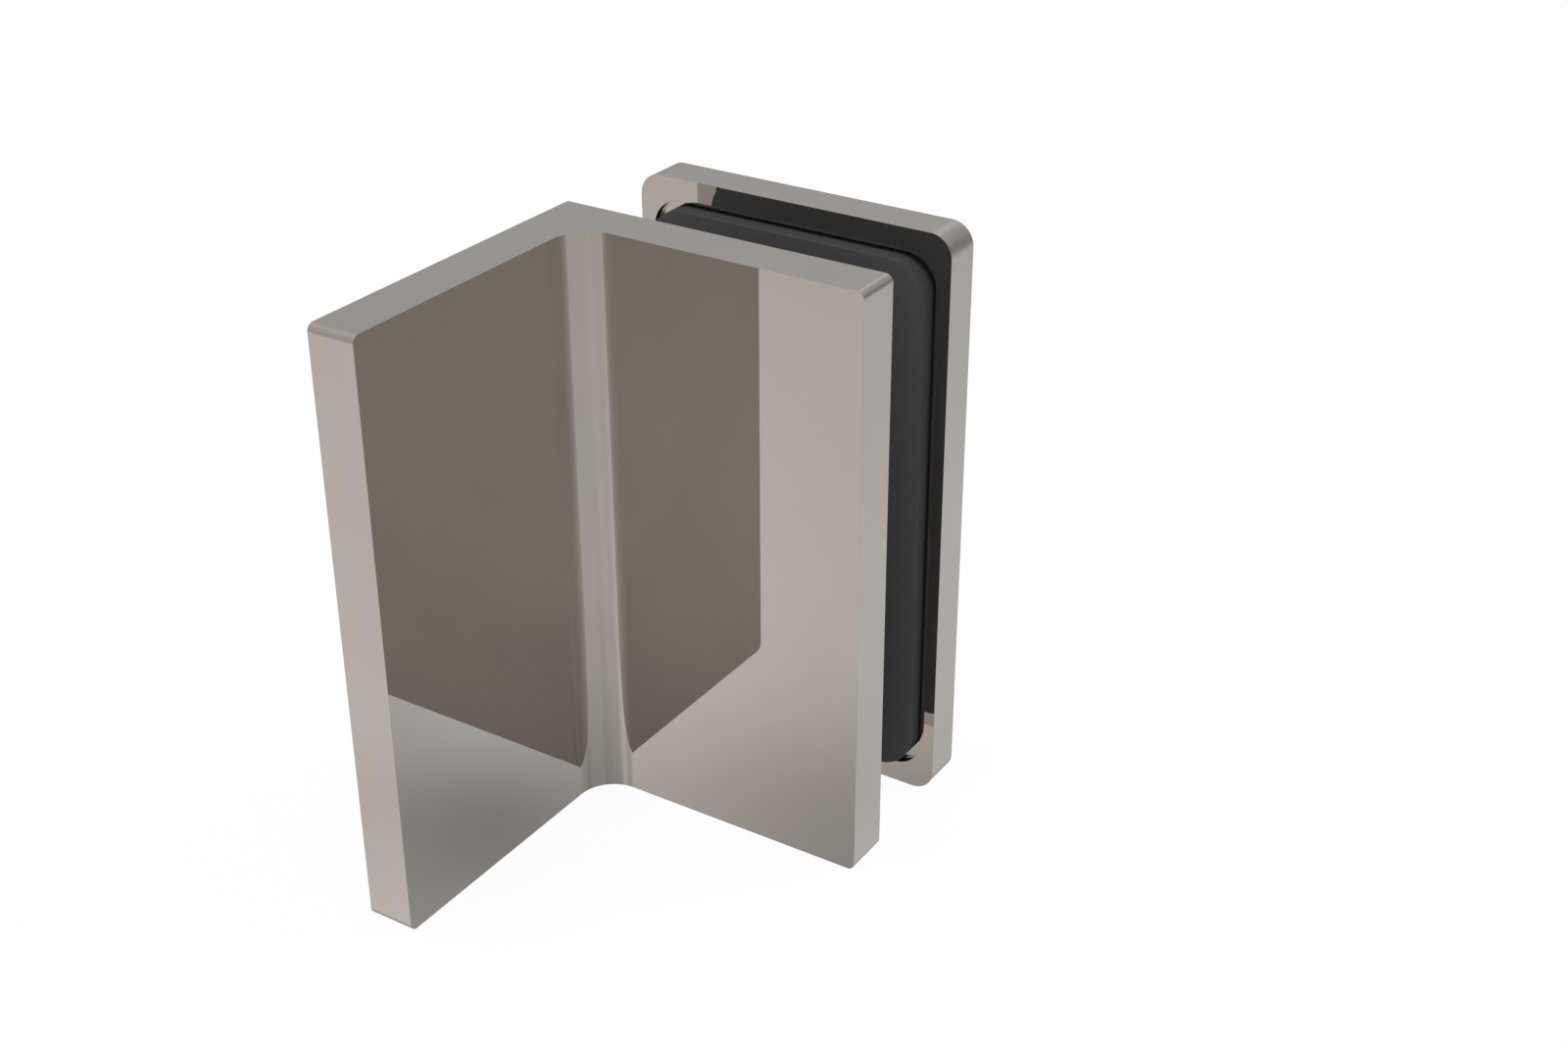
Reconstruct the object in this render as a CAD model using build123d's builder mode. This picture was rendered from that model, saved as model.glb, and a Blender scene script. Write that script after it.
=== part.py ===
from build123d import *
import os
from math import radians, tan

# Glass-to-wall bracket. An angle bracket stands with one leg against a wall, and a clamp plate
# behind its other leg grips a pane of glass between two rubber gaskets.
# Millimetres, +Z up. The wall is the plane X = 0, the glass lies parallel to XZ, and the origin
# is the middle of the face that meets the wall.

# Angle bracket
bracket_height = 79.0
wall_leg_length = 46.0  # along Y, outer corner to free end
glass_leg_length = 46.0  # along X, wall to free end
leg_thickness = 6.5
inner_fillet = 5.0  # concave corner between the legs
leg_corner_radius = 1.0  # free corners of both legs

# Clamp plate
plate_thickness = 5.5
plate_wall_gap = 1.0  # keeps the plate off the wall
plate_corner_radius = 3.0

# Glass, gaskets and their pockets
glass_thickness = 10.0
gasket_stand_off = 2.0  # rubber standing out of its pocket
gasket_side_margin = 2.5  # gasket to plate edge along X
gasket_end_margin = 3.5  # gasket to plate edge along Z
gasket_corner_radius = 5.0
pocket_depth = 1.0
pocket_clearance = 0.5  # all round the gasket
pocket_corner_radius = 4.0

# Clamp screws, M6 countersunk with hexagon socket
screw_spacing = 40.0
screw_diameter = 6.0
screw_head_diameter = 12.0
countersink_angle = 90.0
head_recess = 0.2  # head below the plate's outer face
socket_across_flats = 4.0
socket_depth = 2.2
screw_point_chamfer = 0.6
screw_hole_clearance = 0.3  # radial, in the plate and the sleeves
gasket_hole_clearance = 0.5  # radial, round the sleeves
thread_clearance = 0.05  # radial
thread_floor = 1.4  # metal left under a tapped hole
screw_end_clearance = 0.4  # screw point to hole bottom

# Sleeves that keep the screws off the glass
sleeve_wall = 1.7
sleeve_shortfall = 1.0  # lets the plate close on the gaskets before it meets a sleeve

# Tapped holes in the wall face
wall_hole_spacing = 40.0
wall_hole_diameter = 6.0
wall_hole_chamfer = 0.5

# Planes and sizes that follow
half_height = bracket_height / 2
leg_glass_face = wall_leg_length / 2
leg_inner_face = leg_glass_face - leg_thickness
wall_leg_end = -wall_leg_length / 2
leg_pocket_floor = leg_glass_face - pocket_depth
leg_gasket_face = leg_glass_face + gasket_stand_off
plate_gasket_face = leg_gasket_face + glass_thickness
plate_inner_face = plate_gasket_face + gasket_stand_off
plate_pocket_floor = plate_inner_face + pocket_depth
plate_outer_face = plate_inner_face + plate_thickness

plate_width = glass_leg_length - plate_wall_gap
clamp_middle = plate_wall_gap + plate_width / 2
gasket_width = plate_width - 2 * gasket_side_margin
gasket_height = bracket_height - 2 * gasket_end_margin
gasket_thickness = pocket_depth + gasket_stand_off
pocket_width = gasket_width + 2 * pocket_clearance
pocket_height = gasket_height + 2 * pocket_clearance

tapped_bottom = leg_inner_face + thread_floor
screw_point = tapped_bottom + screw_end_clearance
screw_head_top = plate_outer_face - head_recess
screw_radius = screw_diameter / 2 - thread_clearance
screw_head_radius = screw_head_diameter / 2
cone_slope = tan(radians(countersink_angle / 2))
screw_hole_radius = screw_diameter / 2 + screw_hole_clearance
sleeve_radius = screw_hole_radius + sleeve_wall
sleeve_length = plate_pocket_floor - leg_pocket_floor - sleeve_shortfall


def glass_plane(depth):
    """Plane parallel to the glass at Y = depth, facing +Y, centred on the clamp."""
    return Plane(origin=(clamp_middle, depth, 0), x_dir=(-1, 0, 0), z_dir=(0, 1, 0))


def gasket(pocket_floor, outward):
    """Rubber pad standing on a pocket floor, its thickness running along Y times outward."""
    with BuildPart() as pad:
        with BuildSketch(glass_plane(pocket_floor)):
            RectangleRounded(gasket_width, gasket_height, gasket_corner_radius)
            with GridLocations(0, screw_spacing, 1, 2):
                Circle(sleeve_radius + gasket_hole_clearance, mode=Mode.SUBTRACT)
        extrude(amount=outward * gasket_thickness)
    return pad


os.makedirs("parts", exist_ok=True)

# Angle bracket: an L profile with a concave fillet
with BuildPart() as angle_bracket:
    with BuildSketch(Plane.XY.offset(-half_height)):
        with BuildLine():
            Polyline(
                (0, wall_leg_end),
                (0, leg_glass_face),
                (glass_leg_length, leg_glass_face),
                (glass_leg_length, leg_inner_face),
                (leg_thickness, leg_inner_face),
                (leg_thickness, wall_leg_end),
                close=True,
            )
        make_face()
    extrude(amount=bracket_height)
    upright_edges = angle_bracket.edges().filter_by(Axis.Z)
    fillet(upright_edges.sort_by_distance((leg_thickness, leg_inner_face, 0))[0], inner_fillet)

    glass_leg_corners = angle_bracket.edges().filter_by(Axis.Y).group_by(Axis.X)[-1]
    fillet(glass_leg_corners, leg_corner_radius)
    wall_leg_corners = angle_bracket.edges().filter_by(Axis.X).group_by(Axis.Y)[0]
    fillet(wall_leg_corners, leg_corner_radius)

    # Gasket pocket in the glass face, with blind tapped holes for the clamp screws
    with BuildSketch(glass_plane(leg_glass_face)):
        RectangleRounded(pocket_width, pocket_height, pocket_corner_radius)
    extrude(amount=-pocket_depth, mode=Mode.SUBTRACT)
    with Locations(glass_plane(leg_pocket_floor)):
        with GridLocations(0, screw_spacing, 1, 2):
            Hole(screw_diameter / 2, depth=leg_pocket_floor - tapped_bottom)

    # Blind tapped holes in the wall face, with a lead-in chamfer
    with Locations(Plane(origin=(0, 0, 0), x_dir=(0, 1, 0), z_dir=(-1, 0, 0))):
        with GridLocations(0, wall_hole_spacing, 1, 2):
            CounterSinkHole(
                wall_hole_diameter / 2,
                wall_hole_diameter / 2 + wall_hole_chamfer,
                depth=leg_thickness - thread_floor,
                counter_sink_angle=90,
            )
angle_bracket.part.label = "angle_bracket"
export_step(angle_bracket.part, "parts/angle_bracket.step")

# Clamp plate: rounded plate with a gasket pocket inside and countersunk holes outside
with BuildPart() as clamp_plate:
    with BuildSketch(glass_plane(plate_inner_face)):
        RectangleRounded(plate_width, bracket_height, plate_corner_radius)
    extrude(amount=plate_thickness)
    with BuildSketch(glass_plane(plate_inner_face)):
        RectangleRounded(pocket_width, pocket_height, pocket_corner_radius)
    extrude(amount=pocket_depth, mode=Mode.SUBTRACT)
    with Locations(glass_plane(plate_outer_face)):
        with GridLocations(0, screw_spacing, 1, 2):
            CounterSinkHole(
                screw_hole_radius,
                screw_head_radius + head_recess * cone_slope,
                depth=plate_thickness,
                counter_sink_angle=countersink_angle,
            )
clamp_plate.part.label = "clamp_plate"
export_step(clamp_plate.part, "parts/clamp_plate.step")

# Gaskets: the same pad on both sides of the glass
leg_gasket = gasket(leg_pocket_floor, 1)
leg_gasket.part.label = "leg_gasket"
export_step(leg_gasket.part, "parts/leg_gasket.step")

plate_gasket = gasket(plate_pocket_floor, -1)
plate_gasket.part.label = "plate_gasket"
export_step(plate_gasket.part, "parts/plate_gasket.step")

# Clamp screws: the upper one is turned from its profile, and the lower one mirrors it
head_cone_height = (screw_head_radius - screw_radius) / cone_slope
upper_screw = Plane(origin=(clamp_middle, 0, screw_spacing / 2))
with BuildPart() as clamp_screws:
    with BuildSketch(upper_screw):
        with BuildLine():
            Polyline(
                (0, screw_point),
                (screw_radius - screw_point_chamfer, screw_point),
                (screw_radius, screw_point + screw_point_chamfer),
                (screw_radius, screw_head_top - head_cone_height),
                (screw_head_radius, screw_head_top),
                (0, screw_head_top),
                close=True,
            )
        make_face()
    revolve(axis=Axis(upper_screw.origin, (0, 1, 0)))
    with BuildSketch(glass_plane(screw_head_top)):
        with Locations((0, screw_spacing / 2)):
            RegularPolygon(socket_across_flats / 2, 6, major_radius=False)
    extrude(amount=-socket_depth, mode=Mode.SUBTRACT)
    mirror(about=Plane.XY)
clamp_screws.part.label = "clamp_screws"
export_step(clamp_screws.part, "parts/clamp_screws.step")

# Screw sleeves: tubes round the screws, from the leg's pocket floor through both gaskets
with BuildPart() as screw_sleeves:
    with BuildSketch(glass_plane(leg_pocket_floor)):
        with GridLocations(0, screw_spacing, 1, 2):
            Circle(sleeve_radius)
            Circle(screw_hole_radius, mode=Mode.SUBTRACT)
    extrude(amount=sleeve_length)
screw_sleeves.part.label = "screw_sleeves"
export_step(screw_sleeves.part, "parts/screw_sleeves.step")
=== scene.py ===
from math import cos, pi, radians, sin, sqrt

import bmesh
import bpy
from mathutils import Matrix, Vector


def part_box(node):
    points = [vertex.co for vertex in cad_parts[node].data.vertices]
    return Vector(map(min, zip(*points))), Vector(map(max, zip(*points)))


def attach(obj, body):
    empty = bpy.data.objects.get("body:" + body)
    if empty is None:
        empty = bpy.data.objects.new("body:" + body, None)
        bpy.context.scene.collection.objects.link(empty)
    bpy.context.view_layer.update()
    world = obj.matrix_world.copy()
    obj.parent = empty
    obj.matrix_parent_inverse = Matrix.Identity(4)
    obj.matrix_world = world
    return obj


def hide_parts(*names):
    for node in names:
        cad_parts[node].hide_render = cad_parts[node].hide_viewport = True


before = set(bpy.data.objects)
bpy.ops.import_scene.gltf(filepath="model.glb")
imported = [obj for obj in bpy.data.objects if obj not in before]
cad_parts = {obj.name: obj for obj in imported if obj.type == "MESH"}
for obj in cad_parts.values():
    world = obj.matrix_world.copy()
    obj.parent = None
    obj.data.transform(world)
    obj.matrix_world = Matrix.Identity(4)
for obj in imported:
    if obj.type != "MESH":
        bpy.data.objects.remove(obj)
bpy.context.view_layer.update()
print("frame loaded")

metre = 0.001  # every size below is in millimetres, and becomes metres when its piece is finished
slack = 0.01  # how far off a place may be, where faces and edges are picked by their place
sharpAngle = radians(28)  # an edge that bends more than this gets a fine rounding


def boxOf(node):  # lowest and highest corner of a CAD node, in millimetres
    low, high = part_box(node)
    return low / metre, high / metre


bracketLow, bracketHigh = boxOf("angle_bracket")
plateLow, plateHigh = boxOf("clamp_plate")
height = bracketHigh.z - bracketLow.z
clampX = (plateLow.x + plateHigh.x) / 2  # the clamp's upright middle line, with both screws on it

# Sizes that several pieces share
fitting = {
    "screwSpacing": 40,
    "pocketDepth": 1,
    "pocketWidth": 41,
    "pocketHeight": 73,
    "pocketCorner": 4,
    "screwHole": 3.3,  # radius through plate and sleeves
}
screwPlaces = (-fitting["screwSpacing"] / 2, fitting["screwSpacing"] / 2)


# Mesh helpers. An outline lies in X and Y first, and upright() stands it up facing the glass.
def upright(y, z=0):
    return Matrix.Translation((clampX, y, z)) @ Matrix.Rotation(pi / 2, 4, "X")


def sideways(x, z):  # stands an outline up facing the wall
    return Matrix.Translation((x, 0, z)) @ Matrix.Rotation(pi / 2, 4, "Y")


def vertsIn(made):
    return [g for g in made if isinstance(g, bmesh.types.BMVert)]


def edgesOf(verts):
    known = set(verts)
    return [e for e in dict.fromkeys(e for v in verts for e in v.link_edges) if set(e.verts) <= known]


def roundedLoop(bm, placing, width, depth, corner, steps=14):
    before = set(bm.faces)
    square = bmesh.ops.create_grid(bm, x_segments=1, y_segments=1, size=0.5)["verts"]
    bmesh.ops.scale(bm, vec=(width, depth, 1), verts=square)
    bmesh.ops.bevel(
        bm, geom=square, offset=corner, segments=steps, profile=0.5, affect="VERTICES", material=-1
    )
    made = [f for f in bm.faces if f not in before]
    verts = list(dict.fromkeys(v for f in made for v in f.verts))
    bmesh.ops.delete(bm, geom=made, context="FACES_ONLY")
    bmesh.ops.transform(bm, matrix=placing, verts=verts)
    return edgesOf(verts)


def pocketLoop(bm, y):
    return roundedLoop(
        bm, upright(y), fitting["pocketWidth"], fitting["pocketHeight"], fitting["pocketCorner"]
    )


def roundLoop(bm, placing, radius, steps=72):
    made = bmesh.ops.create_circle(bm, cap_ends=False, segments=steps, radius=radius, matrix=placing)
    return edgesOf(made["verts"])


def pull(bm, loop, along, scale=1.0):  # extrudes a loop, and widens or narrows its far end
    verts = vertsIn(bmesh.ops.extrude_edge_only(bm, edges=loop)["geom"])
    bmesh.ops.translate(bm, vec=along, verts=verts)
    middle = sum((v.co for v in verts), Vector()) / len(verts)
    bmesh.ops.scale(bm, vec=(scale,) * 3, verts=verts, space=Matrix.Translation(-middle))
    return edgesOf(verts)


def cover(bm, *loops):  # one flat face inside the first loop, with the others as its holes
    edges = [e for loop in loops for e in loop]
    bmesh.ops.triangle_fill(bm, use_beauty=True, use_dissolve=True, edges=edges)


def openFace(bm, normal, place):  # takes a flat face away and gives back its outline
    found = [
        f for f in bm.faces
        if f.normal.dot(normal) > 0.999 and abs(f.calc_center_median().dot(normal) - place) < slack
    ]
    outline = [e for f in found for e in f.edges]
    bmesh.ops.delete(bm, geom=found, context="FACES_ONLY")
    return outline


def breakEdges(bm, radius, steps=2):  # a fine rounding on every sharp edge
    bmesh.ops.recalc_face_normals(bm, faces=bm.faces)
    sharp = [e for e in bm.edges if e.calc_face_angle(0) > sharpAngle]
    bmesh.ops.bevel(
        bm, geom=sharp, offset=radius, segments=steps, profile=0.5, affect="EDGES",
        clamp_overlap=False, material=-1, face_strength_mode="ALL",
    )


threadForm = {"rootWidth": 0.84, "crestWidth": 0.16}  # as shares of the pitch


def threadRidge(bm, thread, placing, turns):
    # one closed ridge wound round the local Z axis, from the root radius to the crest radius
    halfRoot = thread["pitch"] * threadForm["rootWidth"] / 2
    halfCrest = thread["pitch"] * threadForm["crestWidth"] / 2
    corners = (
        (thread["root"], -halfRoot), (thread["crest"], -halfCrest),
        (thread["crest"], halfCrest), (thread["root"], halfRoot),
    )
    verts = [bm.verts.new((radius, 0, z)) for radius, z in corners]
    face = bm.faces.new(verts)
    bmesh.ops.spin(
        bm, geom=verts + list(face.edges) + [face], cent=(0, 0, 0), axis=(0, 0, 1),
        dvec=(0, 0, thread["pitch"] / thread["steps"]), angle=2 * pi * turns,
        steps=int(turns * thread["steps"]), use_merge=False, use_duplicate=False,
    )
    ridge = set(verts)
    grown = True
    while grown:  # walks out to every vertex that hangs together with the first ones
        reached = {w for v in ridge for e in v.link_edges for w in e.verts} - ridge
        ridge |= reached
        grown = bool(reached)
    bmesh.ops.transform(bm, matrix=placing, verts=list(ridge))


def finishPiece(bm, name, material, node):
    bmesh.ops.remove_doubles(bm, verts=bm.verts, dist=1e-5)
    bmesh.ops.recalc_face_normals(bm, faces=bm.faces)
    bmesh.ops.scale(bm, vec=(metre,) * 3, verts=bm.verts)
    for face in bm.faces:
        face.smooth = True
    mesh = bpy.data.meshes.new(name)
    bm.to_mesh(mesh)
    bm.free()
    mesh.materials.append(material)
    piece = bpy.data.objects.new(name, mesh)
    bpy.context.scene.collection.objects.link(piece)
    even = piece.modifiers.new("evenNormals", "WEIGHTED_NORMAL")
    even.use_face_influence = True
    even.keep_sharp = True
    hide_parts(node)
    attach(piece, "root")
    print(f"{name}: {len(mesh.polygons)} faces")


# Shader helpers
class Wire:  # an output socket, on which arithmetic adds Math nodes
    def __init__(self, maker, socket):
        self.maker = maker
        self.socket = socket

    def maths(self, operation, *terms):
        return self.maker.node("ShaderNodeMath", {"operation": operation}, dict(enumerate(terms)))

    def __add__(self, other):
        return self.maths("ADD", self, other)

    def __radd__(self, other):
        return self.maths("ADD", other, self)

    def __sub__(self, other):
        return self.maths("SUBTRACT", self, other)

    def __rsub__(self, other):
        return self.maths("SUBTRACT", other, self)

    def __mul__(self, other):
        return self.maths("MULTIPLY", self, other)

    def __rmul__(self, other):
        return self.maths("MULTIPLY", other, self)

    def __pow__(self, other):
        return self.maths("POWER", self, other)

    def __abs__(self):
        return self.maths("ABSOLUTE", self)

    def sine(self):
        return self.maths("SINE", self)

    def capped(self, top):
        return self.maths("MINIMUM", self, top)

    def floored(self, bottom):
        return self.maths("MAXIMUM", self, bottom)


class NodeMaker:  # adds nodes to one material or world
    def __init__(self, owner):
        owner.use_nodes = True
        self.tree = owner.node_tree
        self.tree.nodes.clear()

    def node(self, kind, settings=None, values=None, output=0):
        made = self.tree.nodes.new(kind)
        for name, value in (settings or {}).items():
            if name == "stops":
                self.setStops(made.color_ramp, value)
            elif name == "interpolation":
                made.color_ramp.interpolation = value
            else:
                setattr(made, name, value)
        for name, value in (values or {}).items():
            if isinstance(value, Wire):
                self.tree.links.new(value.socket, made.inputs[name])
            else:
                made.inputs[name].default_value = value
        return Wire(self, made.outputs[output]) if made.outputs else None

    def setStops(self, ramp, stops):  # (position, grey) pairs
        while len(ramp.elements) > 1:
            ramp.elements.remove(ramp.elements[-1])
        for index, (position, grey) in enumerate(stops):
            stop = ramp.elements[0] if index == 0 else ramp.elements.new(position)
            stop.position = position
            stop.color = (grey, grey, grey, 1)

    def outputs(self, kind, values=None):  # one wire for each output of a new node, by its name
        first = self.node(kind, values=values)
        return {socket.name: Wire(self, socket) for socket in first.socket.node.outputs}

    def place(self):  # Object coordinates, in metres
        return self.node("ShaderNodeTexCoord", output="Object")

    def parts(self, vector):  # its X, Y and Z
        return list(self.outputs("ShaderNodeSeparateXYZ", {0: vector}).values())

    def noise(self, where, size, detail=2, rough=0.5, stretch=(1, 1, 1)):  # grain size in millimetres
        scale = tuple(share / (size * metre) for share in stretch)
        spot = self.node("ShaderNodeMapping", values={"Vector": where, "Scale": scale})
        values = {"Vector": spot, "Scale": 1, "Detail": detail, "Roughness": rough}
        return self.node("ShaderNodeTexNoise", values=values)

    def ramp(self, factor, stops, interpolation="EASE"):
        settings = {"stops": stops, "interpolation": interpolation}
        return self.node("ShaderNodeValToRGB", settings, {"Fac": factor})

    def rise(self, factor, low, high):  # 0 up to the low value, and 1 from the high one on
        return self.ramp(factor, [(low, 0.0), (high, 1.0)])

    def mixColour(self, factor, first, second):
        first, second = (c if isinstance(c, Wire) else (*c, 1) for c in (first, second))
        # a Mix node's colour inputs are its sockets 6 and 7, and its colour output is socket 2
        values = {0: factor, 6: first, 7: second}
        return self.node("ShaderNodeMix", {"data_type": "RGBA"}, values, output=2)

    def relief(self, *layers):  # bumps on one another, by depth in millimetres and amount from 0 to 1
        lower = {}
        for depth, amount in layers:
            values = {"Height": amount, "Distance": depth * metre, "Strength": 1, **lower}
            lower = {"Normal": self.node("ShaderNodeBump", values=values)}
        return lower["Normal"]

    def surface(self, **sockets):
        named = {name.replace("_", " "): value for name, value in sockets.items()}
        shader = self.node("ShaderNodeBsdfPrincipled", values=named)
        self.node("ShaderNodeOutputMaterial", values={"Surface": shader})


# Polished metal of bracket and plate: a warm grey mirror with faint haze and hand polishing marks
polish = {
    "colour": (0.48, 0.443, 0.409),
    "hazeColour": (0.46, 0.426, 0.394),
    "roughness": 0.012,
    "hazeRoughness": 0.03,
    "hazeSize": 22,
    "hazeRange": (0.42, 0.72),
    "markSize": 0.35,
    "markDepth": 0.00002,
    "markStretch": (1, 1, 0.05),
    "waveSize": 14,
    "waveDepth": 0.0004,
}


def makePolishedMetal():
    material = bpy.data.materials.new("polishedMetal")
    maker = NodeMaker(material)
    where = maker.place()
    haze = maker.noise(where, polish["hazeSize"], detail=4, rough=0.6)
    marks = maker.noise(where, polish["markSize"], detail=3, rough=0.6, stretch=polish["markStretch"])
    waves = maker.noise(where, polish["waveSize"], detail=1)
    cloudy = maker.rise(haze, *polish["hazeRange"])
    maker.surface(
        Base_Color=maker.mixColour(cloudy, polish["colour"], polish["hazeColour"]),
        Metallic=1,
        Roughness=polish["roughness"] + polish["hazeRoughness"] * cloudy * marks,
        Normal=maker.relief((polish["waveDepth"], waves), (polish["markDepth"], marks)),
    )
    return material


# Moulded rubber of the gaskets: matt black, fine grain, a little dust, and painted shade that darkens the
# side faces round the outline
rubber = {
    "colour": (0.075, 0.075, 0.076),
    "dustColour": (0.125, 0.125, 0.123),
    # painted shade: the darker colour given to the side faces round the outline
    "sideShadeColour": (0.045, 0.045, 0.046),
    "sideShadeRange": (0.974, 0.996),  # where 1 is the outline
    "roughness": 0.7,
    "grainRoughness": 0.14,
    "dustRoughness": 0.1,
    "shine": 0.25,
    "grainSize": 0.22,
    "grainDepth": 0.012,
    "swellSize": 3,
    "swellDepth": 0.015,
    "dustSize": 0.5,
    "dustRange": (0.6, 0.74),
    "patchSize": 9,
    "patchStops": [(0.4, 0.15), (0.7, 0.55)],
}


def makeBlackRubber():
    material = bpy.data.materials.new("blackRubber")
    maker = NodeMaker(material)
    where = maker.place()
    grain = maker.noise(where, rubber["grainSize"], detail=3, rough=0.6)
    swell = maker.noise(where, rubber["swellSize"], detail=2)
    patches = maker.noise(where, rubber["patchSize"], detail=3)
    specks = maker.noise(where, rubber["dustSize"], detail=3, rough=0.7)
    dust = maker.ramp(patches, rubber["patchStops"]) * maker.rise(specks, *rubber["dustRange"])

    # the distance from the straight middle parts, which is the corner's radius all round the outline
    low, high = boxOf("plate_gasket")
    x, _, z = maker.parts(where)
    beyondX = (abs(x - clampX * metre) - ((high.x - low.x) / 2 - gasket["corner"]) * metre).floored(0)
    beyondZ = (abs(z) - ((high.z - low.z) / 2 - gasket["corner"]) * metre).floored(0)
    outwards = (beyondX * beyondX + beyondZ * beyondZ) ** 0.5 * (1 / (gasket["corner"] * metre))
    # painted shade: the side faces round the outline, and a thin band of the faces next to them, are made
    # darker
    sideShade = maker.rise(outwards, *rubber["sideShadeRange"])

    dusty = maker.mixColour(dust, rubber["colour"], rubber["dustColour"])
    maker.surface(
        Base_Color=maker.mixColour(sideShade, dusty, rubber["sideShadeColour"]),
        Specular_IOR_Level=rubber["shine"],
        Roughness=rubber["roughness"] + rubber["grainRoughness"] * grain + rubber["dustRoughness"] * dust,
        Normal=maker.relief((rubber["swellDepth"], swell), (rubber["grainDepth"], grain)),
    )
    return material


# Stainless steel of the screws: turned rings on the heads, tumbled all over
steel = {
    "colour": (0.56, 0.545, 0.52),
    "dullColour": (0.51, 0.495, 0.47),
    "dullRange": (0.45, 0.7),
    "roughness": 0.17,
    "dullRoughness": 0.07,
    "ringRoughness": 0.03,
    "ringPitch": 0.16,
    "ringDepth": 0.002,
    "ringWobble": 3,  # radians
    "tumbleSize": 0.9,
    "tumbleDepth": 0.0015,
}


def makeStainlessScrew():
    material = bpy.data.materials.new("stainlessScrew")
    maker = NodeMaker(material)
    where = maker.place()
    x, _, z = maker.parts(where)
    acrossX = x - clampX * metre
    acrossZ = abs(z) - fitting["screwSpacing"] / 2 * metre  # both screws share one pattern
    radius = (acrossX * acrossX + acrossZ * acrossZ) ** 0.5
    tumble = maker.noise(where, steel["tumbleSize"], detail=4, rough=0.65)
    rings = (radius * (2 * pi / (steel["ringPitch"] * metre)) + steel["ringWobble"] * tumble).sine()
    dull = maker.rise(tumble, *steel["dullRange"])
    maker.surface(
        Base_Color=maker.mixColour(dull, steel["colour"], steel["dullColour"]),
        Metallic=1,
        Roughness=steel["roughness"] + steel["dullRoughness"] * dull + steel["ringRoughness"] * rings,
        Normal=maker.relief((steel["ringDepth"], rings), (steel["tumbleDepth"], tumble)),
    )
    return material


# Natural nylon of the sleeves
nylon = {
    "colour": (0.74, 0.735, 0.7),
    "denseColour": (0.66, 0.652, 0.61),
    "roughness": 0.38,
    "grainRoughness": 0.15,
    "flowSize": 2.5,
    "flowDepth": 0.006,
    "flowStretch": (1, 0.3, 1),
    "grainSize": 0.15,
    "grainDepth": 0.003,
}


def makeSleevePlastic():
    material = bpy.data.materials.new("sleevePlastic")
    maker = NodeMaker(material)
    where = maker.place()
    flow = maker.noise(where, nylon["flowSize"], detail=3, stretch=nylon["flowStretch"])
    grain = maker.noise(where, nylon["grainSize"], detail=2)
    maker.surface(
        Base_Color=maker.mixColour(flow, nylon["colour"], nylon["denseColour"]),
        Roughness=nylon["roughness"] + nylon["grainRoughness"] * grain,
        Normal=maker.relief((nylon["flowDepth"], flow), (nylon["grainDepth"], grain)),
    )
    return material


# Angle bracket
bracket = {
    "legThickness": 6.5,
    "innerFillet": 5,
    "filletSteps": 32,
    "corner": 1,
    "cornerSteps": 12,
    "edgeBreak": 0.03,
    "tappedRadius": 3,
    "tappedDepth": 5.1,  # from the wall face and from the glass face alike
    "leadIn": 0.5,
    "threadInset": 0.45,  # at both ends of a thread in the wall face
}
femaleThread = {"root": 3.02, "crest": 2.52, "pitch": 1, "steps": 36}


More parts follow.
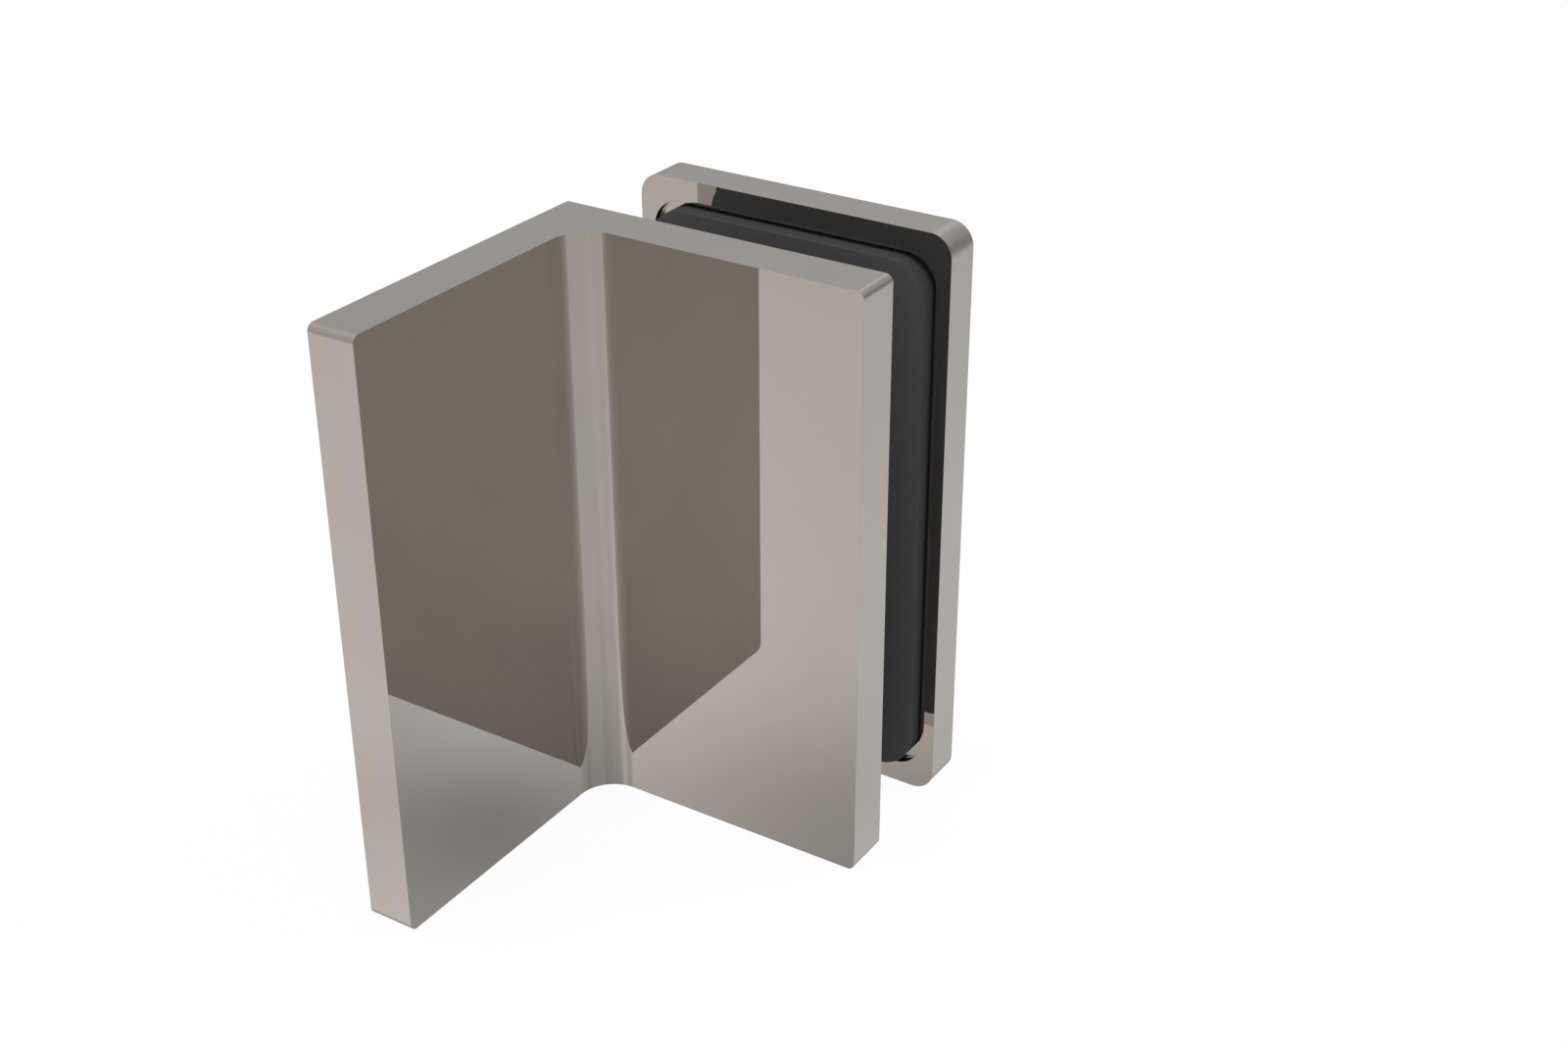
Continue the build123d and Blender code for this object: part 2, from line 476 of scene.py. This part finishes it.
def makeBracket():
    bm = bmesh.new()
    legInner = bracketHigh.y - bracket["legThickness"]
    profile = (
        (0, bracketLow.y), (bracket["legThickness"], bracketLow.y), (bracket["legThickness"], legInner),
        (bracketHigh.x, legInner), (bracketHigh.x, bracketHigh.y), (0, bracketHigh.y),
    )
    base = bm.faces.new([bm.verts.new((x, y, bracketLow.z)) for x, y in profile])
    top = vertsIn(bmesh.ops.extrude_face_region(bm, geom=[base])["geom"])
    bmesh.ops.translate(bm, vec=(0, 0, height), verts=top)
    bmesh.ops.recalc_face_normals(bm, faces=bm.faces)

    def roundEdges(test, radius, steps):
        chosen = [e for e in bm.edges if test(e.verts[0].co, e.verts[1].co)]
        bmesh.ops.bevel(
            bm, geom=chosen, offset=radius, segments=steps, profile=0.5, affect="EDGES", material=-1
        )

    def onCorner(a, b):
        return all(abs(p.x - bracket["legThickness"]) + abs(p.y - legInner) < slack for p in (a, b))

    def onFreeEnd(a, b):
        level = abs(a.z - b.z) < slack
        atEnd = min(a.x, b.x) > bracketHigh.x - slack or max(a.y, b.y) < bracketLow.y + slack
        return level and atEnd

    roundEdges(onCorner, bracket["innerFillet"], bracket["filletSteps"])
    roundEdges(onFreeEnd, bracket["corner"], bracket["cornerSteps"])

    # gasket pocket and the clamp screws' holes in the glass face
    glassFace = openFace(bm, Vector((0, 1, 0)), bracketHigh.y)
    mouth = pocketLoop(bm, bracketHigh.y)
    cover(bm, glassFace, mouth)
    floor = pull(bm, mouth, (0, -fitting["pocketDepth"], 0))
    floorY = bracketHigh.y - fitting["pocketDepth"]
    holes = [roundLoop(bm, upright(floorY, z), bracket["tappedRadius"]) for z in screwPlaces]
    cover(bm, floor, *holes)
    for hole in holes:
        bottom = pull(bm, hole, (0, fitting["pocketDepth"] - bracket["tappedDepth"], 0))
        cover(bm, bottom)

    # tapped holes in the wall face
    wallFace = openFace(bm, Vector((-1, 0, 0)), 0)
    mouthRadius = bracket["tappedRadius"] + bracket["leadIn"]
    holes = [roundLoop(bm, sideways(0, z), mouthRadius) for z in screwPlaces]
    cover(bm, wallFace, *holes)
    straight = bracket["tappedDepth"] - bracket["leadIn"]
    for hole in holes:
        neck = pull(bm, hole, (bracket["leadIn"], 0, 0), bracket["tappedRadius"] / mouthRadius)
        bottom = pull(bm, neck, (straight, 0, 0))
        cover(bm, bottom)

    breakEdges(bm, bracket["edgeBreak"])
    turns = (straight - 2 * bracket["threadInset"]) / femaleThread["pitch"]
    for z in screwPlaces:
        threadRidge(bm, femaleThread, sideways(bracket["leadIn"] + bracket["threadInset"], z), turns)
    finishPiece(bm, "angleBracketPolished", polishedMetal, "angle_bracket")


# Clamp plate
plate = {
    "corner": 3,
    "cornerSteps": 20,
    "edgeBreak": 0.03,
    "countersink": 6.2,  # radius at the outer face, at 90 degrees
}


def makePlate():
    bm = bmesh.new()
    width = plateHigh.x - plateLow.x
    thickness = plateHigh.y - plateLow.y
    outer = roundedLoop(bm, upright(plateHigh.y), width, height, plate["corner"], plate["cornerSteps"])
    inner = pull(bm, outer, (0, -thickness, 0))
    mouth = pocketLoop(bm, plateLow.y)
    cover(bm, inner, mouth)
    floor = pull(bm, mouth, (0, fitting["pocketDepth"], 0))
    sinks = [roundLoop(bm, upright(plateHigh.y, z), plate["countersink"]) for z in screwPlaces]
    cover(bm, outer, *sinks)
    coneDepth = plate["countersink"] - fitting["screwHole"]
    straight = thickness - coneDepth - fitting["pocketDepth"]
    ends = []
    for sink in sinks:
        neck = pull(bm, sink, (0, -coneDepth, 0), fitting["screwHole"] / plate["countersink"])
        ends.append(pull(bm, neck, (0, -straight, 0)))
    cover(bm, floor, *ends)
    breakEdges(bm, plate["edgeBreak"])
    finishPiece(bm, "clampPlatePolished", polishedMetal, "clamp_plate")


# Gaskets, one on each side of the glass
gasket = {
    "corner": 5,
    "cornerSteps": 20,
    "hole": 5.5,
    "edgeRound": 0.12,
    "edgeSteps": 3,
}


def makeGasket(node, name):
    low, high = boxOf(node)
    size = high - low
    bm = bmesh.new()
    near = roundedLoop(bm, upright(low.y), size.x, size.z, gasket["corner"], gasket["cornerSteps"])
    far = pull(bm, near, (0, size.y, 0))
    nearHoles = [roundLoop(bm, upright(low.y, z), gasket["hole"]) for z in screwPlaces]
    farHoles = [pull(bm, hole, (0, size.y, 0)) for hole in nearHoles]
    cover(bm, near, *nearHoles)
    cover(bm, far, *farHoles)
    breakEdges(bm, gasket["edgeRound"], gasket["edgeSteps"])
    finishPiece(bm, name, blackRubber, node)


# Clamp screws
screw = {
    "headRadius": 6,
    "shankRadius": 2.95,
    "coreRadius": 2.45,
    "socketFlats": 4,
    "socketDepth": 2.2,
    "socketPoint": 0.5,  # depth of the drilled cone under the socket
    "socketPointScale": 0.25,
    "edgeBreak": 0.06,
    "threadLength": 8,
    "threadInset": 0.8,  # at both ends of the thread
    "runOut": 0.4,  # slope between shank and thread core
    "tipLength": 0.5,
    "tipScale": 0.8,
}
maleThread = {"root": 2.4, "crest": 2.93, "pitch": 1, "steps": 36}


def makeScrews():
    low, high = boxOf("clamp_screws")
    coneDepth = screw["headRadius"] - screw["shankRadius"]
    plain = high.y - low.y - coneDepth - screw["threadLength"]
    coreLength = screw["threadLength"] - screw["runOut"] - screw["tipLength"]
    flatAngle = Matrix.Rotation(pi / 6, 4, "Z")
    bm = bmesh.new()
    for z in screwPlaces:
        top = roundLoop(bm, upright(high.y, z), screw["headRadius"])
        socket = roundLoop(bm, upright(high.y, z) @ flatAngle, screw["socketFlats"] / sqrt(3), 6)
        cover(bm, top, socket)
        rim = pull(bm, socket, (0, -screw["socketDepth"], 0))
        point = pull(bm, rim, (0, -screw["socketPoint"], 0), screw["socketPointScale"])
        cover(bm, point)
        neck = pull(bm, top, (0, -coneDepth, 0), screw["shankRadius"] / screw["headRadius"])
        shank = pull(bm, neck, (0, -plain, 0))
        core = pull(bm, shank, (0, -screw["runOut"], 0), screw["coreRadius"] / screw["shankRadius"])
        tip = pull(bm, core, (0, -coreLength, 0))
        end = pull(bm, tip, (0, -screw["tipLength"], 0), screw["tipScale"])
        cover(bm, end)
    breakEdges(bm, screw["edgeBreak"])
    threadStart = low.y + screw["threadLength"] - screw["threadInset"]
    turns = (screw["threadLength"] - 2 * screw["threadInset"]) / maleThread["pitch"]
    for z in screwPlaces:
        threadRidge(bm, maleThread, upright(threadStart, z), turns)
    finishPiece(bm, "clampScrewsTurned", stainlessScrew, "clamp_screws")


# Screw sleeves
sleeve = {
    "radius": 5,
    "edgeRound": 0.3,
    "edgeSteps": 3,
}


def makeSleeves():
    low, high = boxOf("screw_sleeves")
    along = (0, high.y - low.y, 0)
    bm = bmesh.new()
    for z in screwPlaces:
        outside = roundLoop(bm, upright(low.y, z), sleeve["radius"])
        inside = roundLoop(bm, upright(low.y, z), fitting["screwHole"])
        farOutside = pull(bm, outside, along)
        farInside = pull(bm, inside, along)
        cover(bm, outside, inside)
        cover(bm, farOutside, farInside)
    breakEdges(bm, sleeve["edgeRound"], sleeve["edgeSteps"])
    finishPiece(bm, "screwSleevesMoulded", sleevePlastic, "screw_sleeves")


# Studio: a pale floor, the surroundings that the metal mirrors, two soft lamps and the camera
floorLook = {
    "colour": 0.75,
    "size": 6,  # metres
    "shownWhite": 0.96,  # share of plain white in what the camera sees of it
}


def makeFloor():
    bm = bmesh.new()
    bmesh.ops.create_grid(bm, x_segments=1, y_segments=1, size=floorLook["size"] / 2)
    bmesh.ops.translate(bm, vec=(0, 0, bracketLow.z * metre), verts=bm.verts)
    mesh = bpy.data.meshes.new("studioFloor")
    bm.to_mesh(mesh)
    bm.free()
    floor = bpy.data.objects.new("studioFloor", mesh)
    bpy.context.scene.collection.objects.link(floor)
    floor.visible_glossy = False  # the metal mirrors the sky's soft surroundings instead

    material = bpy.data.materials.new("paleFloor")
    maker = NodeMaker(material)
    rays = maker.outputs("ShaderNodeLightPath")
    share = (rays["Is Camera Ray"] + rays["Is Transmission Ray"]) * floorLook["shownWhite"]
    lit = maker.node("ShaderNodeBsdfDiffuse", values={"Color": (floorLook["colour"],) * 3 + (1,)})
    white = maker.node("ShaderNodeEmission", values={"Color": (1, 1, 1, 1), "Strength": 1})
    shown = maker.node("ShaderNodeMixShader", values={0: share, 1: lit, 2: white})
    maker.node("ShaderNodeOutputMaterial", values={"Surface": shown})
    mesh.materials.append(material)


surroundings = {
    "evenSky": 0.8,  # brightness of the sky that lights whatever is not a mirror
    # brightness against height in the view, from straight down at -1 to straight up at 1
    "byHeight": [
        (-1, 0.519), (-0.66, 0.51), (-0.62, 0.41), (-0.6, 0.45), (-0.586, 0.435), (-0.574, 0.435),
        (-0.562, 0.49), (-0.548, 0.575), (-0.53, 0.65), (-0.49, 0.716), (-0.42, 0.729), (-0.3, 0.61),
        (-0.18, 0.537), (-0.06, 0.391), (0.1, 0.336), (0.25, 0.399), (0.36, 0.511), (0.55, 0.56),
        (0.8, 0.85),
    ],
    # softer and narrower lights: azimuth and elevation in degrees, brightness, tightness
    "lights": [
        (-135, -28, 0.184, 8), (68, -28, 0.086, 14), (108, 34, 0.258, 40), (129, 12, 0.115, 20),
        (-132, 10, 0.179, 12), (-136, -39, 0.4, 180), (-120, -39, -0.115, 350), (-127, -32, 0.16, 350),
        (48.5, -36, -0.21, 1200), (49, -32.5, 0.155, 700), (63, -38, 0.355, 150), (48, -38, 0.17, 1200),
        (63, -32, -0.083, 1200), (-55, -27, 0.06, 60), (-50, -35.5, -0.11, 80), (-50, -36, 0.09, 500),
        (-98, -33, 0.235, 120), (15, -36.5, -0.11, 300), (-119, -32, 0.05, 1200), (122, -28, 0.5, 30),
    ],
    "warm": (1.014, 0.99, 0.957),  # tint of what lies towards -Y
    "cool": (0.97, 0.99, 1.008),  # and towards +Y
}


def makeSky():
    world = bpy.data.worlds.new("studioSky")
    bpy.context.scene.world = world
    maker = NodeMaker(world)
    rays = maker.outputs("ShaderNodeLightPath")
    glossy = rays["Is Glossy Ray"]
    seen = (rays["Is Camera Ray"] + rays["Is Transmission Ray"]).capped(1)
    direction = maker.node("ShaderNodeTexCoord", output="Generated")
    depth, level = (part * 0.5 + 0.5 for part in maker.parts(direction)[1:])  # from 0 to 1
    stops = [((height + 1) / 2, grey) for height, grey in surroundings["byHeight"]]
    mirrored = maker.ramp(level, stops, "B_SPLINE")
    for azimuth, elevation, brightness, tightness in surroundings["lights"]:
        turn, tilt = radians(azimuth), radians(elevation)
        towards = (cos(turn) * cos(tilt), sin(turn) * cos(tilt), sin(tilt))
        near = maker.node(
            "ShaderNodeVectorMath", {"operation": "DOT_PRODUCT"}, {0: direction, 1: towards}, "Value"
        )
        mirrored = mirrored + brightness * near.floored(0) ** tightness
    strength = seen + (1 - seen) * (glossy * mirrored + (1 - glossy) * surroundings["evenSky"])
    tint = maker.mixColour(depth, surroundings["warm"], surroundings["cool"])
    colour = maker.mixColour((1 - seen) * glossy, (1, 1, 1), tint)
    sky = maker.node("ShaderNodeBackground", values={"Color": colour, "Strength": strength})
    maker.node("ShaderNodeOutputWorld", values={"Surface": sky})


lamps = {
    # name: direction, distance and size in metres, watts
    "softLamp": ((-0.1, -0.12, 0.98), 0.9, 0.25, 4.4),
    "backLamp": ((0.5, 0.55, 0.67), 0.9, 0.4, 4.6),
}


def makeLamp(name, direction, distance, size, watts):
    light = bpy.data.lights.new(name, "AREA")
    light.shape = "DISK"
    light.size = size
    light.energy = watts
    lamp = bpy.data.objects.new(name, light)
    towards = Vector(direction).normalized()
    lamp.location = towards * distance
    lamp.rotation_euler = towards.to_track_quat("Z", "Y").to_euler()
    lamp.visible_glossy = False  # its disc would show in the flat mirror faces
    bpy.context.scene.collection.objects.link(lamp)


view = {
    "place": (0.15822, -0.17805, 0.13002),
    "forward": (-0.47112, 0.74677, -0.46944),
    "lens": 50,
    "sensor": 36,
    "nearest": 0.01,
    "farthest": 20,
}


def makeCamera():
    lens = bpy.data.cameras.new("camera")
    lens.lens = view["lens"]
    lens.sensor_width = view["sensor"]
    lens.sensor_fit = "HORIZONTAL"
    lens.clip_start = view["nearest"]
    lens.clip_end = view["farthest"]
    camera = bpy.data.objects.new("camera", lens)
    camera.location = view["place"]
    camera.rotation_euler = Vector(view["forward"]).to_track_quat("-Z", "Y").to_euler()
    bpy.context.scene.collection.objects.link(camera)
    bpy.context.scene.camera = camera


polishedMetal = makePolishedMetal()
blackRubber = makeBlackRubber()
stainlessScrew = makeStainlessScrew()
sleevePlastic = makeSleevePlastic()
print("materials made")

makeBracket()
makePlate()
makeGasket("leg_gasket", "legGasketMoulded")
makeGasket("plate_gasket", "plateGasketMoulded")
makeScrews()
makeSleeves()
print("pieces made")

makeFloor()
makeSky()
for name, values in lamps.items():
    makeLamp(name, *values)
makeCamera()
bpy.context.scene.view_settings.view_transform = "Standard"
print("studio made")

bpy.context.view_layer.update()
